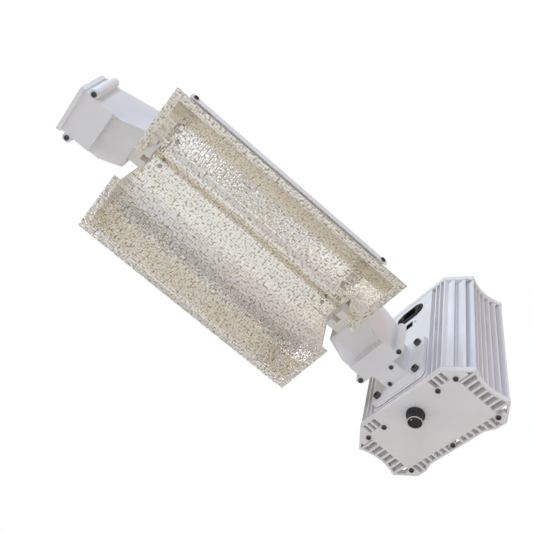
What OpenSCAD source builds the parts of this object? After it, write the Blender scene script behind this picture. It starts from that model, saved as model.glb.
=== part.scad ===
// Double-ended grow lamp fixture: open hammered reflector between two socket housings, with a
// finned ballast bolted to one end. X runs along the lamp, from the free end to the ballast, Y
// across it and Z up; light leaves towards -Z. Modules are drawn in the reflector's own frame
// (centre of the mouth, Z = 0 at the rim) and at_row() moves them so that the origin is the
// centre of the hanging hole over the ballast.

/* [Reflector] */
// Length of the reflector over its end lips
rim_l = 348; // [336:1:352]
// Width of the reflector over its side lips
rim_w = 240; // [232:1:250]
// Height of the trough above the rim
trough_h = 84; // [80:1:86]
// Width of the flat lip round the mouth
lip_w = 10; // [8:0.5:12]
// Thickness of the hammered sheet
sheet_t = 1; // [0.8:0.1:1.2]
// Half width of the notch that the lamp ends and lampholders pass through
notch_half = 24; // [20:1:26]
// Height of that notch
notch_h = 60; // [58:1:66]

/* [Socket housings] */
// Half width of a socket housing
house_half = 32; // [30:1:34]
// Height of the housing's underside above the rim
house_bottom = 15; // [13:0.5:16]
// Wall thickness of the cast housings
house_wall = 3; // [2.5:0.5:3.5]
// Height of the lamp's axis above the rim
lamp_z = 44; // [43:0.5:45]

/* [Ballast] */
// Depth of the ballast along the fixture
ballast_d = 110; // [106:1:116]
// Width of the ballast
ballast_w = 208; // [204:1:212]
// Height of the ballast over both end caps
ballast_h = 226; // [220:1:250]
// Thickness of an end cap
cap_t = 8; // [7:0.5:9]
// Thickness of a cooling fin
fin_t = 2.2; // [1.8:0.1:2.6]
// Distance from one side fin to the next
fin_pitch = 9.7; // [9.5:0.1:9.9]

/* [Dimmer] */
// Outer diameter of the dimmer knob's skirt
knob_d = 24.5; // [22:0.5:26]
// Height of the dimmer knob
knob_h = 17; // [14:0.5:18]

/* [Hangers] */
// Radius of the hole that a hook passes through
hang_r = 4.5; // [3:0.5:5]

/* [Hidden] */
$fn = 48;
tiny = 0.01;

// Reflector: outline of the trough seen along the lamp, from the +Y lip to the middle.
end_lean = 5.5 / 82;                      // how far an end wall leans in for each unit of height
wall_x = rim_l / 2 - lip_w;              // foot of an end wall
mouth_half = rim_w / 2 - lip_w - 1.5;    // foot of a side wall
shoulder_y = 47;                         // fold between the roof and the side wall
shoulder_z = trough_h - 8;
ridge_y = 14;                            // fold at the foot of the central ridge
ridge_drop = 8;                          // how far the ridge hangs below the roof
wall_bend_y = 95;                        // where the steep part of the side wall starts to curve
wall_bend_z = 35;
strap_x = 150;                           // middle of a cross strap
strap_w = 26;
strap_t = 2;
spine_bottom = 88;
spine_h = 8;
spine_half = 18;
spine_wall = 1.5;
spine_end = 184;
strap_z = spine_bottom + spine_h;        // underside of a strap
canopy_half = 80;
canopy_bottom = 91;
canopy_eave = 101;
canopy_top = strap_z + strap_t + 11;
canopy_flat = 34;
canopy_t = 1.2;
canopy_l = 334;

// Socket housings, in distance along X from the middle of the reflector.
box_in = 218;                            // inner edge of the wiring box
box_out = 247;                           // outer edge of the box at the ballast
box_out_free = 259;                      // outer edge of the box at the free end
plate_end_t = 5.7;                       // end plate on the free end's box
cheek_kink = 204.5;
cheek_end = 177;
cheek_end_z = 37;
pocket_deep_z = 30;                      // depth of the pocket at the wiring box
pocket_deep_half = 21;
pocket_lip_half = 26;
boss_x = 241;
boss_x_free = 248;
boss_y = house_half + 4;
boss_r = 6;
boss_top = 70;
house_box_z = 73;
house_high_x = 195;
house_high_z = 93;
house_tip_x = 168;
house_tip_z = 103;
cover_t = 2;

// Lampholders.
holder_x0 = 156;
holder_x1 = cheek_end;
holder_half = 15.5;
holder_z0 = 35;
holder_z1 = 56;
slot_half = 4.2;
plunger_r = 2;
plunger_gap = 0.06;
plunger_travel = 3;

// Ballast: x is measured from its flat front face.
front_x = 279;
ballast_bottom = -17.2;
ballast_top = ballast_bottom + ballast_h;
half_w = ballast_w / 2;
panel_half = 48;                         // flat front panel with the inlet and the flange
step_x = 17;                             // front wall beside the flat panel
core_half = 77;
front_half = 72;                         // flat front edge of the caps
core_back = 93;
core_wall = 3;
rim_t = 2.6;                             // rim of an end cap round the fin windows
gasket_t = 0.8;
sink_z0 = ballast_bottom + cap_t + gasket_t;
sink_z1 = ballast_top - cap_t - gasket_t;
sink_h = sink_z1 - sink_z0;
cap_screws = [[20.4, 48], [20.4, -48], [20.4, 77.5], [20.4, -77.5], [97, 75], [97, -75], [97, 0]];
knob_x = 30;
flange_t = 5;
flange_half = 46;
flange_z0 = -5;
flange_z1 = 82;
flange_bolt_y = 35;
flange_bolt_z = [10.5, 67.5];
neck_half = 19;
neck_z0 = house_bottom + cover_t;
neck_z1 = 68;
neck_gasket_t = 1;
inlet_y = -5.5;
inlet_z = 172;
port_y = -4.5;
port_z = 144;
status_y = -17;
plate_x0 = front_x - neck_gasket_t - flange_t;

// Hangers.
hang_x = front_x + 56;
hang_z = ballast_top + 20;
hang_free_x = -215;
hang_free_z = 112;
strip_t = 3;

function unit(v) = v / norm(v);
function right_of(a, b) = let (d = unit(b - a)) [d[1], -d[0]];
function lerp(a, b, t) = a + (b - a) * t;
function reversed(p) = [for (i = [len(p) - 1:-1:0]) p[i]];
function mirrored(p) = [for (q = reversed(p)) [-q[0], q[1]]];

// Points of an open path moved sideways by t, to the right of its direction.
function shifted(p, t) = [
    for (i = [0:len(p) - 1])
        let (before = right_of(p[max(i - 1, 0)], p[max(i, 1)]))
        let (after = right_of(p[min(i, len(p) - 2)], p[min(i + 1, len(p) - 1)]))
        let (m = unit(before + after))
        p[i] + m * t / (m * before)
];

// The same for a closed path.
function shifted_loop(p, t) = [
    for (i = [0:len(p) - 1])
        let (before = right_of(p[(i + len(p) - 1) % len(p)], p[i]))
        let (after = right_of(p[i], p[(i + 1) % len(p)]))
        let (m = unit(before + after))
        p[i] + m * t / (m * before)
];

// Points from a towards b (b left out) on a shallow curve that bows to the left by sag.
function bowed(a, b, sag, n) = [
    for (i = [0:n - 1])
        let (t = i / n)
        lerp(a, b, t) - right_of(a, b) * sag * 4 * t * (1 - t)
];

module at_row() {
    translate([-hang_x, 0, -hang_z]) children();
}

module both_ends() {
    children();
    mirror([1, 0, 0]) children();
}

module free_end() {
    mirror([1, 0, 0]) children();
}

// A 2D shape drawn in (Y, Z) and pushed along X from x0 to x1.
module along_x(x0, x1) {
    translate([x0, 0, 0]) rotate([90, 0, 90]) linear_extrude(x1 - x0) children();
}

// A 2D shape drawn in (X, Z) and pushed along Y from -half to half.
module across_y(half) {
    translate([0, half, 0]) rotate([90, 0, 0]) linear_extrude(2 * half) children();
}

module tube(r, hole, h) {
    difference() {
        cylinder(r = r, h = h);
        translate([0, 0, -1]) cylinder(r = hole, h = h + 2);
    }
}

// Pan-head screw: head from z = 0 up to head_h with a hexagon socket, shank below.
module screw(head_r, head_h, shank_r, shank_l) {
    difference() {
        cylinder(r = head_r, h = head_h);
        translate([0, 0, head_h / 2]) cylinder(r = head_r * 0.5, h = head_h, $fn = 6);
    }
    translate([0, 0, -shank_l]) cylinder(r = shank_r, h = shank_l);
}

// Everything on the far side of the plane through p with outward normal n.
module beyond_plane(p, n) {
    size = 200;
    translate(p)
        rotate([0, acos(n[2]), atan2(n[1], n[0])])
            translate([-size / 2, -size / 2, 0]) cube(size);
}

// A straight round run from a to b, going on past both ends by grow.
module run(a, b, r, grow = 0) {
    d = b - a;
    translate(a)
        rotate([0, acos(d[2] / norm(d)), atan2(d[1], d[0])])
            translate([0, 0, -grow]) cylinder(r = r, h = norm(d) + 2 * grow);
}

// Round runs through all the points, mitred where they meet, each a solid of its own.
module route(points, r) {
    last = len(points) - 1;
    gap = tiny * 2;
    function along(i) = unit(points[i + 1] - points[i]);
    for (i = [0:last - 1]) {
        start = i == 0 ? along(0) : unit(along(i - 1) + along(i));
        end = i == last - 1 ? along(i) : unit(along(i) + along(i + 1));
        difference() {
            run(points[i], points[i + 1], r, grow = 2 * r);
            beyond_plane(points[i] + gap * start, -start);
            beyond_plane(points[i + 1] - gap * end, end);
        }
    }
}

/* ---------- reflector ---------- */

side_half_path = concat(
    [[rim_w / 2, 0], [mouth_half, 0], [mouth_half - 6.5, 18]],
    bowed([wall_bend_y, wall_bend_z], [shoulder_y + 7, shoulder_z - 2.5], -4, 8),
    [[shoulder_y + 7, shoulder_z - 2.5], [shoulder_y, shoulder_z], [ridge_y, trough_h]],
    [[4, trough_h - ridge_drop + 0.8], [0, trough_h - ridge_drop]]
);
ridge_last = len(side_half_path) - 1;
trough_path = concat(
    side_half_path,
    mirrored([for (i = [0:ridge_last - 1]) side_half_path[i]])
);

// Everything beyond the leaning end wall on the ballast side, from its inner face plus depth.
module beyond_end(depth) {
    translate([wall_x + depth, 0, 0])
        rotate([0, -atan(end_lean), 0])
            translate([0, -rim_w, -60])
                cube([120, 2 * rim_w, 260]);
}

module trough_skin(t0, t1) {
    polygon(concat(shifted(trough_path, t0), reversed(shifted(trough_path, t1))));
}

// Rivets through the side walls, and their places on the roof beside the end walls.
// Facets of the trough that carry tabs of the end walls, and how far along them a tab sits.
roof_facet = [[shoulder_y, shoulder_z], [ridge_y, trough_h]];
bow_facet = [side_half_path[9], side_half_path[10]];
tab_at = 0.4;
tab_half = 6;

module rivet_places() {
    both_ends() for (s = [-1, 1]) {
        translate([wall_x - 10, s * (mouth_half - 3.25), 9])
            rotate([s * (90 + atan(6.5 / 18)), 0, 0]) children();
        for (facet = [roof_facet, bow_facet]) {
            middle = lerp(facet[0], facet[1], tab_at);
            slope = facet[1] - facet[0];
            translate([wall_x - 10, s * middle[0], middle[1]])
                rotate([s * atan(slope[1] / slope[0]), 0, 0]) mirror([0, 0, 1]) children();
        }
    }
}

module reflector_screw_places() {
    both_ends() for (s = [-1, 1])
        translate([strap_x - 6, s * 22, 0]) children();
}

roof_z_22 = lerp(trough_h, shoulder_z, (22 - ridge_y) / (shoulder_y - ridge_y));

module reflector_trough() {
    color("gainsboro") at_row() difference() {
        along_x(-wall_x, wall_x) trough_skin(sheet_t, 0);
        both_ends() beyond_end(0);
        rivet_places() translate([0, 0, -4]) cylinder(r = 1.6, h = 8, $fn = 24);
        reflector_screw_places() translate([0, 0, 60]) cylinder(r = 2.2, h = 40, $fn = 24);
    }
}

// End wall with its lip, its notch and the tabs folded over the trough, on the ballast side.
module reflector_end() {
    outline = concat(
        [[rim_w / 2, 0]], shifted(trough_path, 2 * sheet_t), [[-rim_w / 2, 0]]
    );
    difference() {
        union() {
            intersection() {
                along_x(wall_x - 30, wall_x + 10) polygon(outline);
                difference() {
                    beyond_end(0);
                    beyond_end(sheet_t);
                }
            }
            translate([wall_x + 0.1, -rim_w / 2, 0]) cube([lip_w - 0.1, rim_w, sheet_t]);
            difference() {
                along_x(wall_x - 26, wall_x + 3) intersection() {
                    trough_skin(2 * sheet_t, sheet_t);
                    tab_strips();
                }
                beyond_end(sheet_t / 2);
            }
        }
        translate([wall_x - 20, -notch_half, -1]) cube([40, 2 * notch_half, notch_h + 1]);
        rivet_places() translate([0, 0, -4]) cylinder(r = 1.6, h = 8, $fn = 24);
    }
}

// Where the tabs lie, seen along the lamp.
module tab_strips() {
    for (s = [-1, 1]) {
        for (facet = [roof_facet, bow_facet])
            translate([s * lerp(facet[0], facet[1], tab_at)[0] - tab_half, 50])
                square([2 * tab_half, 50]);
        translate([s * (mouth_half - 3) - 8, 3.5]) square([16, 11]);
    }
}

module reflector_end_ballast() {
    color("gainsboro") at_row() reflector_end();
}

module reflector_end_free() {
    color("gainsboro") at_row() free_end() reflector_end();
}

module reflector_rivets() {
    color("dimgray") at_row() rivet_places() {
        translate([0, 0, -2 * sheet_t]) cylinder(r = 1.6, h = 2 * sheet_t + tiny, $fn = 24);
        cylinder(r1 = 2.3, r2 = 1.6, h = 0.8, $fn = 24);
        translate([0, 0, -2 * sheet_t - 1]) cylinder(r = 2.6, h = 1, $fn = 24);
    }
}

/* ---------- frame over the reflector ---------- */

canopy_half_path = [
    [canopy_half, canopy_bottom], [canopy_half, canopy_eave],
    [canopy_half - 3, canopy_eave + 2], [canopy_flat, canopy_top]
];

module canopy_screw_places() {
    both_ends() for (s = [-1, 1])
        translate([160, s * canopy_half, canopy_bottom + 5]) rotate([-s * 90, 0, 0]) children();
}

module canopy() {
    path = concat(canopy_half_path, mirrored(canopy_half_path));
    color("whitesmoke") at_row() difference() {
        along_x(-canopy_l / 2, canopy_l / 2)
            polygon(concat(path, reversed(shifted(path, -canopy_t))));
        canopy_screw_places() translate([0, 0, -4]) cylinder(r = 1.8, h = 8, $fn = 24);
    }
}

module canopy_screws() {
    color("dimgray") at_row() canopy_screw_places() screw(3.4, 2, 1.8, 3.2);
}

// Strap over the spine; its ears reach down inside the canopy's eaves.
module cross_strap() {
    ear = canopy_half - canopy_t;
    path = [[ear, canopy_bottom + 1], [ear, strap_z + strap_t], [-ear, strap_z + strap_t], [-ear, canopy_bottom + 1]];
    difference() {
        along_x(strap_x - strap_w / 2, strap_x + strap_w / 2)
            polygon(concat(path, reversed(shifted(path, -strap_t))));
        canopy_screw_places() translate([0, 0, -4]) cylinder(r = 1.8, h = 8, $fn = 24);
        reflector_screw_places() translate([0, 0, strap_z - 2]) cylinder(r = 2, h = 8, $fn = 24);
        strap_screw_places() translate([0, 0, -4]) cylinder(r = 1.6, h = 6, $fn = 24);
    }
}

module cross_strap_ballast() {
    color("silver") at_row() cross_strap();
}

module cross_strap_free() {
    color("silver") at_row() free_end() cross_strap();
}

module strap_spacers() {
    foot = roof_z_22 + sheet_t + 1.2;
    color("silver") at_row() reflector_screw_places()
        translate([0, 0, foot]) tube(3.6, 2, strap_z - foot);
}

module reflector_screws() {
    color("dimgray") at_row() reflector_screw_places()
        translate([0, 0, roof_z_22 - 1]) mirror([0, 0, 1])
            screw(2.8, 1.2, 2, strap_z + strap_t + 3 - roof_z_22);
}

module spine() {
    color("silver") at_row() difference() {
        translate([-spine_end, -spine_half, spine_bottom])
            cube([2 * spine_end, 2 * spine_half, spine_h]);
        translate([-spine_end - 1, -spine_half + spine_wall, spine_bottom + spine_wall])
            cube([2 * spine_end + 2, 2 * (spine_half - spine_wall), spine_h - 2 * spine_wall]);
        strap_screw_places() translate([0, 0, -6]) cylinder(r = 1.6, h = 12, $fn = 24);
        spine_screw_places() translate([0, 0, -6]) cylinder(r = 1.6, h = 12, $fn = 24);
    }
}

module spine_screw_places() {
    both_ends() for (s = [-1, 1])
        translate([172.5, s * 11, spine_bottom]) mirror([0, 0, 1]) children();
}

module strap_screw_places() {
    both_ends() for (s = [-1, 1])
        translate([157, s * 10, strap_z + strap_t]) children();
}

module spine_screws() {
    color("dimgray") at_row() {
        spine_screw_places() translate([0, 0, house_wall]) screw(3, 1.8, 1.6, house_wall + spine_wall);
        strap_screw_places() screw(3, 2, 1.6, strap_t + spine_wall);
    }
}

/* ---------- socket housings ---------- */

// Side view of a housing: bottom edge, rising cheek, inner end and sloping top.
function house_side(out) = [
    [out, house_bottom + cover_t], [cheek_kink, house_bottom + cover_t], [cheek_end, cheek_end_z],
    [cheek_end, spine_bottom - house_wall], [house_tip_x, spine_bottom - house_wall],
    [house_tip_x, house_tip_z], [house_high_x, house_high_z], [boss_x, house_box_z], [out, house_box_z]
];

module boss_places(x) {
    for (s = [-1, 1]) translate([x, s * boss_y, 0]) children();
}

// Hollow under the lamp end: sloping ceiling between cheeks that thin out towards their edges.
module pocket() {
    foot = [box_in, house_half - 0.8, house_bottom];
    deep = [box_in, pocket_deep_half, pocket_deep_z];
    lip = [cheek_end, pocket_lip_half, cheek_end_z];
    normal = unit(cross(lip - foot, deep - foot));
    difference() {
        across_y(house_half - 0.8) polygon([
            [box_in, house_bottom - 1], [box_in, pocket_deep_z],
            [cheek_end - 1, cheek_end_z - 0.5], [cheek_end - 1, house_bottom - 1]
        ]);
        for (side = [0, 1]) mirror([0, side, 0]) beyond_plane(foot, normal);
    }
}

module housing_body(out, screw_x) {
    inner = house_half - house_wall;
    box_wall = box_in + house_wall;
    difference() {
        union() {
            across_y(house_half) polygon(house_side(out));
            boss_places(screw_x) translate([0, 0, house_bottom + cover_t])
                cylinder(r = boss_r, h = boss_top - house_bottom - cover_t);
        }
        pocket();
        // wiring box, open underneath
        translate([box_wall, -inner, house_bottom])
            cube([out - house_wall - box_wall, 2 * inner, house_box_z - house_wall - house_bottom]);
        // space over the pocket for the lampholder's leads
        translate([cheek_end + house_wall, -inner, cheek_end_z + house_wall])
            cube([box_wall - cheek_end, 2 * inner, 78 - cheek_end_z - house_wall]);
        // socket for the spine
        translate([house_tip_x - 1, -spine_half, spine_bottom])
            cube([spine_end - house_tip_x + 1, 2 * spine_half, spine_h]);
        // passage from the spine down to the leads
        across_y(12) polygon([
            [spine_end, 70], [spine_end, 95], [189, 93], [194, 90], [194, 70]
        ]);
        spine_screw_places() translate([0, 0, -6]) cylinder(r = 1.6, h = 12, $fn = 24);
        boss_places(screw_x) translate([0, 0, house_bottom]) cylinder(r = 1.6, h = 16, $fn = 24);
        lampholder_screw_places() translate([0, 0, -house_wall - 1]) cylinder(r = 1.5, h = 8, $fn = 24);
    }
}

module wire_exit() {
    translate([box_out - house_wall - 1, 0, 45]) rotate([0, 90, 0]) cylinder(r = 8, h = 12);
}

module socket_housing_free() {
    color("whitesmoke") at_row() free_end() difference() {
        housing_body(box_out_free, boss_x_free);
        hanger_free_holes();
        end_plate_screw_places() translate([0, 0, -8]) cylinder(r = 1.6, h = 10, $fn = 24);
    }
}

module socket_housing_ballast() {
    color("whitesmoke") at_row() difference() {
        housing_body(box_out, boss_x);
        wire_exit();
        neck_screw_places() translate([0, 0, -8]) cylinder(r = 1.6, h = 16, $fn = 24);
    }
}

// Bottom cover with an ear under each boss.
module housing_cover(out, screw_x) {
    difference() {
        translate([0, 0, house_bottom]) union() {
            translate([box_in, -house_half, 0]) cube([out - box_in, 2 * house_half, cover_t]);
            boss_places(screw_x) cylinder(r = boss_r, h = cover_t);
        }
        boss_places(screw_x) translate([0, 0, house_bottom - 1]) cylinder(r = 1.6, h = cover_t + 2, $fn = 24);
    }
}

module housing_cover_free() {
    color("whitesmoke") at_row() free_end() housing_cover(box_out_free, boss_x_free);
}

module housing_cover_ballast() {
    color("whitesmoke") at_row() housing_cover(box_out, boss_x);
}

module housing_cover_screws() {
    color("dimgray") at_row() {
        boss_places(boss_x) cover_screw();
        free_end() boss_places(boss_x_free) cover_screw();
    }
}

module cover_screw() {
    translate([0, 0, house_bottom]) mirror([0, 0, 1]) screw(3.4, 2, 1.6, 12);
}

module end_plate_screw_places() {
    for (s = [-1, 1])
        translate([box_out_free + plate_end_t, s * 24, 60]) rotate([0, 90, 0]) children();
}

module end_plate() {
    color("whitesmoke") at_row() free_end() difference() {
        translate([box_out_free, -house_half - 1.5, house_bottom - 2.5])
            cube([plate_end_t, 2 * house_half + 3, 55]);
        end_plate_screw_places() translate([0, 0, -8]) cylinder(r = 1.6, h = 10, $fn = 24);
    }
}

module end_plate_screws() {
    color("dimgray") at_row() free_end() end_plate_screw_places() screw(3.2, 2, 1.6, 7);
}

/* ---------- lampholders ---------- */

module lampholder_screw_places() {
    for (s = [-1, 1])
        translate([holder_x1 + house_wall, s * 9, 52]) rotate([0, 90, 0]) children();
}

module lampholder() {
    color("ivory") difference() {
        translate([holder_x0, -holder_half, holder_z0])
            cube([holder_x1 - holder_x0, 2 * holder_half, holder_z1 - holder_z0]);
        // slot that the lamp's end is pushed up into
        translate([holder_x0 - 1, -slot_half, holder_z0 - 1])
            cube([10, 2 * slot_half, lamp_z + slot_half - holder_z0 + 1]);
        // channel for the contact and its spring
        translate([holder_x0 + 9, 0, lamp_z]) rotate([0, 90, 0])
            cylinder(r = plunger_r + plunger_gap, h = 30);
        translate([holder_x0 + 13, 0, lamp_z]) rotate([0, 90, 0]) cylinder(r = 3.8, h = 8);
        lampholder_screw_places() translate([0, 0, -8]) cylinder(r = 1.5, h = 10, $fn = 24);
    }
}

module lampholder_ballast() {
    at_row() lampholder();
}

module lampholder_free() {
    at_row() free_end() lampholder();
}

module lampholder_screws() {
    color("silver") at_row() both_ends() lampholder_screw_places() screw(2.8, 1.8, 1.5, 8);
}

// Spring-loaded contact: domed pin with a collar that the spring bears on.
module contact_plunger() {
    translate([holder_x0 + 6.5, 0, lamp_z]) rotate([0, 90, 0]) {
        translate([0, 0, plunger_r]) cylinder(r = plunger_r, h = 11 - plunger_r);
        translate([0, 0, plunger_r]) sphere(r = plunger_r);
        translate([0, 0, 7]) cylinder(r = 3.4, h = 1.2);
    }
}

module contact_plunger_ballast() {
    color("goldenrod") at_row() contact_plunger();
}

module contact_plunger_free() {
    color("goldenrod") at_row() free_end() contact_plunger();
}

// The spring's outer shape at its shortest; it sits against the collar and moves with it.
module contact_spring() {
    translate([holder_x0 + 14.7, 0, lamp_z]) rotate([0, 90, 0]) tube(3.2, 2.5, 3.5);
}

module contact_spring_ballast() {
    color("silver") at_row() contact_spring();
}

module contact_spring_free() {
    color("silver") at_row() free_end() contact_spring();
}

/* ---------- leads ---------- */

lead_r = 1.6;
lead_y = 6;

lead_start = [holder_x1 + house_wall + 4, lead_y, 50];
lead_end = [front_x + 14, lead_y, 45];

module lamp_lead_ballast() {
    color("white") at_row() run(lead_start, lead_end, lead_r);
}

// The far lampholder's lead runs through the spine to the ballast.
module lamp_lead_free() {
    spine_z = spine_bottom + 3.2;
    color("white") at_row() translate([0, -2 * lead_y, 0]) route([
        [-lead_start[0], lead_y, 50], [-189, lead_y, 62], [-188, lead_y, spine_z],
        [188, lead_y, spine_z], [193, lead_y, 68], [236, lead_y, 45], lead_end
    ], lead_r);
}

/* ---------- neck and flange ---------- */

module flange_bolt_places() {
    for (s = [-1, 1], z = flange_bolt_z)
        translate([plate_x0, s * flange_bolt_y, z]) rotate([0, -90, 0]) children();
}

module neck_screw_places() {
    for (s = [-1, 1])
        translate([box_out - house_wall, s * 14, 60]) rotate([0, -90, 0]) children();
}

module neck_cover_screw_places() {
    for (s = [-1, 1])
        translate([261 + s * 8.9, s * 10.5, neck_z0]) mirror([0, 0, 1]) children();
}

// 2D plate with rounded corners, lower left corner at the origin.
module rounded_plate(w, h, r) {
    translate([r, 0]) square([w - 2 * r, h]);
    translate([0, r]) square([w, h - 2 * r]);
    for (x = [r, w - r], y = [r, h - r]) translate([x, y]) circle(r = r);
}

module flange_outline() {
    translate([-flange_half, flange_z0]) rounded_plate(2 * flange_half, flange_z1 - flange_z0, 11);
}

module neck_bracket() {
    inner = neck_half - house_wall;
    color("whitesmoke") at_row() difference() {
        union() {
            along_x(plate_x0, plate_x0 + flange_t) flange_outline();
            translate([box_out, -neck_half, neck_z0])
                cube([plate_x0 - box_out, 2 * neck_half, neck_z1 - neck_z0]);
        }
        difference() {
            translate([box_out + house_wall, -inner, neck_z0 - 1])
                cube([plate_x0 - box_out - house_wall, 2 * inner, neck_z1 - neck_z0 - house_wall + 1]);
            neck_cover_screw_places() translate([0, 0, -16]) cylinder(r = 4, h = 16);
        }
        neck_cover_screw_places() translate([0, 0, -9]) cylinder(r = 1.5, h = 10, $fn = 24);
        translate([box_out - 1, 0, 45]) rotate([0, 90, 0]) cylinder(r = 8, h = 40);
        flange_bolt_places() translate([0, 0, -20]) cylinder(r = 3.2, h = 30);
        neck_screw_places() translate([0, 0, -8]) cylinder(r = 1.6, h = 16, $fn = 24);
    }
}

module neck_cover() {
    color("whitesmoke") at_row() difference() {
        translate([box_out, -neck_half, neck_z0 - cover_t])
            cube([plate_x0 - box_out, 2 * neck_half, cover_t]);
        neck_cover_screw_places() translate([0, 0, -4]) cylinder(r = 1.5, h = 8, $fn = 24);
    }
}

module neck_cover_screws() {
    color("dimgray") at_row() neck_cover_screw_places()
        translate([0, 0, cover_t]) screw(2.9, 1.8, 1.5, 7);
}

module neck_screws() {
    color("dimgray") at_row() neck_screw_places() screw(3, 2, 1.6, 6);
}

module flange_gasket() {
    color("black") at_row() along_x(plate_x0 + flange_t, front_x) difference() {
        translate([1, 1]) offset_free_plate();
        translate([0, 45]) circle(r = 20);
        for (s = [-1, 1], z = flange_bolt_z) translate([s * flange_bolt_y, z]) circle(r = 3.2);
    }
}

module offset_free_plate() {
    translate([-flange_half, flange_z0])
        rounded_plate(2 * flange_half - 2, flange_z1 - flange_z0 - 2, 10);
}

module flange_bolts() {
    color("dimgray") at_row() flange_bolt_places() screw(5, 5, 3, flange_t + neck_gasket_t + 12);
}

/* ---------- ballast ---------- */

// Outline of an end cap, seen from above with x from the front face: flat front, chamfered
// corners, hollowed sides and a back with two lobes.
outline_half = concat(
    [[0, 0], [0, front_half]],
    bowed([27, half_w], [88.5, half_w - 2], -7.5, 10),
    [[88.5, half_w - 2], [ballast_d, 77], [ballast_d, 60], [ballast_d - 5.5, 46], [ballast_d - 5.5, 0]]
);

function flipped(p) = [for (q = reversed(p)) [q[0], -q[1]]];

outline = concat(
    [for (i = [1:len(outline_half) - 2]) outline_half[i]],
    flipped([for (i = [1:len(outline_half) - 2]) outline_half[i]])
);

module cap_outline(inset) {
    polygon(shifted_loop(outline, inset));
}

module core(grow) {
    polygon([
        [-grow, -panel_half - grow], [-grow, panel_half + grow],
        [step_x - grow, panel_half + grow], [step_x - grow, core_half + grow],
        [core_back + grow, core_half + grow], [core_back + grow, -core_half - grow],
        [step_x - grow, -core_half - grow], [step_x - grow, -panel_half - grow]
    ]);
}

// The fins as bars [x, y, width along x, width along y], before they are cut to the outline.
side_bar_y = core_half - 1;
function fin_bars(t) = [
    for (s = [-1, 1]) each concat(
        [for (y = [56, 64, 72]) [0, s * y - t / 2, step_x + 1, t]],
        [
            for (i = [0:8])
                let (from = i == 0 ? 72 : side_bar_y)
                [step_x / 2 + 1 + i * fin_pitch - t / 2, s > 0 ? from : -half_w, t, half_w - from]
        ],
        [for (i = [0:6]) [core_back - 1, s * (13 + i * fin_pitch) - t / 2, 20, t]]
    )
];

module bars(list, inset, h) {
    for (b = list)
        linear_extrude(h) intersection() {
            translate([b[0], b[1]]) square([b[2], b[3]]);
            cap_outline(inset);
        }
}

module cap_screw_places() {
    for (p = cap_screws) translate([front_x + p[0], p[1], 0]) children();
}

module screw_ports(h) {
    for (p = cap_screws) translate(p) cylinder(r = 4.2, h = h);
}

module heat_sink() {
    color("white") at_row() difference() {
        translate([front_x, 0, sink_z0]) {
            linear_extrude(sink_h) difference() {
                core(0);
                core(-core_wall);
            }
            screw_ports(sink_h);
        }
        cap_screw_places() translate([0, 0, sink_z0 - 1]) cylinder(r = 1.7, h = ballast_h, $fn = 24);
        flange_bolt_places() translate([0, 0, -24]) cylinder(r = 3.05, h = 30);
        translate([front_x - 1, 0, 45]) rotate([0, 90, 0]) cylinder(r = 14, h = 10);
        translate([front_x - 1, inlet_y - 14, inlet_z - 10]) cube([10, 28, 20]);
        translate([front_x - 1, port_y - 7, port_z - 5.5]) cube([10, 14, 11]);
        inlet_screw_places() translate([0, 0, -8]) cylinder(r = 1.6, h = 12, $fn = 24);
        translate([front_x - 1, status_y, port_z]) rotate([0, 90, 0]) cylinder(r = 1.5, h = 10, $fn = 24);
    }
}

// Each fin stands on the core or on a screw port.
module cooling_fins() {
    color("white") at_row() translate([front_x, 0, sink_z0]) difference() {
        bars(fin_bars(fin_t), 0.6, sink_h);
        translate([0, 0, -1]) linear_extrude(sink_h + 2) core(0);
        translate([0, 0, -1]) screw_ports(sink_h + 2);
    }
}

// Flat cap: solid over the core, open windows between the fins and a thin rim round them.
module cap_plate() {
    blocks = [
        for (s = [-1, 1]) each [[0, s * 82 - 11, 26, 22], [96, s * 79 - 7, 20, 14]]
    ];
    difference() {
        union() {
            linear_extrude(cap_t) difference() {
                cap_outline(0);
                cap_outline(rim_t);
            }
            linear_extrude(cap_t) core(0);
            bars(fin_bars(fin_t + 0.8), 1, cap_t);
            bars(blocks, 1, cap_t);
            screw_ports(cap_t);
        }
        for (p = cap_screws) translate([p[0], p[1], -1]) cylinder(r = 1.9, h = cap_t + 2, $fn = 24);
    }
}

module lower_end_cap() {
    color("whitesmoke") at_row() difference() {
        translate([front_x, 0, ballast_bottom]) cap_plate();
        translate([front_x + knob_x, 0, ballast_bottom - 1])
            cylinder(r = bush_r + 0.05, h = cap_t + 2);
        translate([front_x + knob_x, 0, ballast_bottom + 3]) cylinder(r = 12, h = cap_t);
    }
}

module upper_end_cap() {
    color("whitesmoke") at_row() difference() {
        translate([front_x, 0, ballast_top - cap_t]) cap_plate();
        hanger_ballast_screw_places() translate([0, 0, -12]) cylinder(r = 2, h = 14, $fn = 24);
    }
}

module cap_gasket() {
    linear_extrude(gasket_t) difference() {
        core(0);
        core(-core_wall);
        for (p = cap_screws) translate(p) circle(r = 1.9, $fn = 24);
    }
}

module lower_cap_gasket() {
    color("black") at_row() translate([front_x, 0, ballast_bottom + cap_t]) cap_gasket();
}

module upper_cap_gasket() {
    color("black") at_row() translate([front_x, 0, sink_z1]) cap_gasket();
}

module end_cap_screws() {
    color("dimgray") at_row() cap_screw_places() {
        translate([0, 0, ballast_bottom]) mirror([0, 0, 1]) screw(3.4, 2, 1.7, 18);
        translate([0, 0, ballast_top]) screw(3.4, 2, 1.7, 18);
    }
}

/* ---------- dimmer ---------- */

spindle_r = 3;
bush_r = 4.1;
knob_gap = 0.6;

module at_knob() {
    at_row() translate([front_x + knob_x, 0, ballast_bottom]) mirror([0, 0, 1]) children();
}

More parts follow.
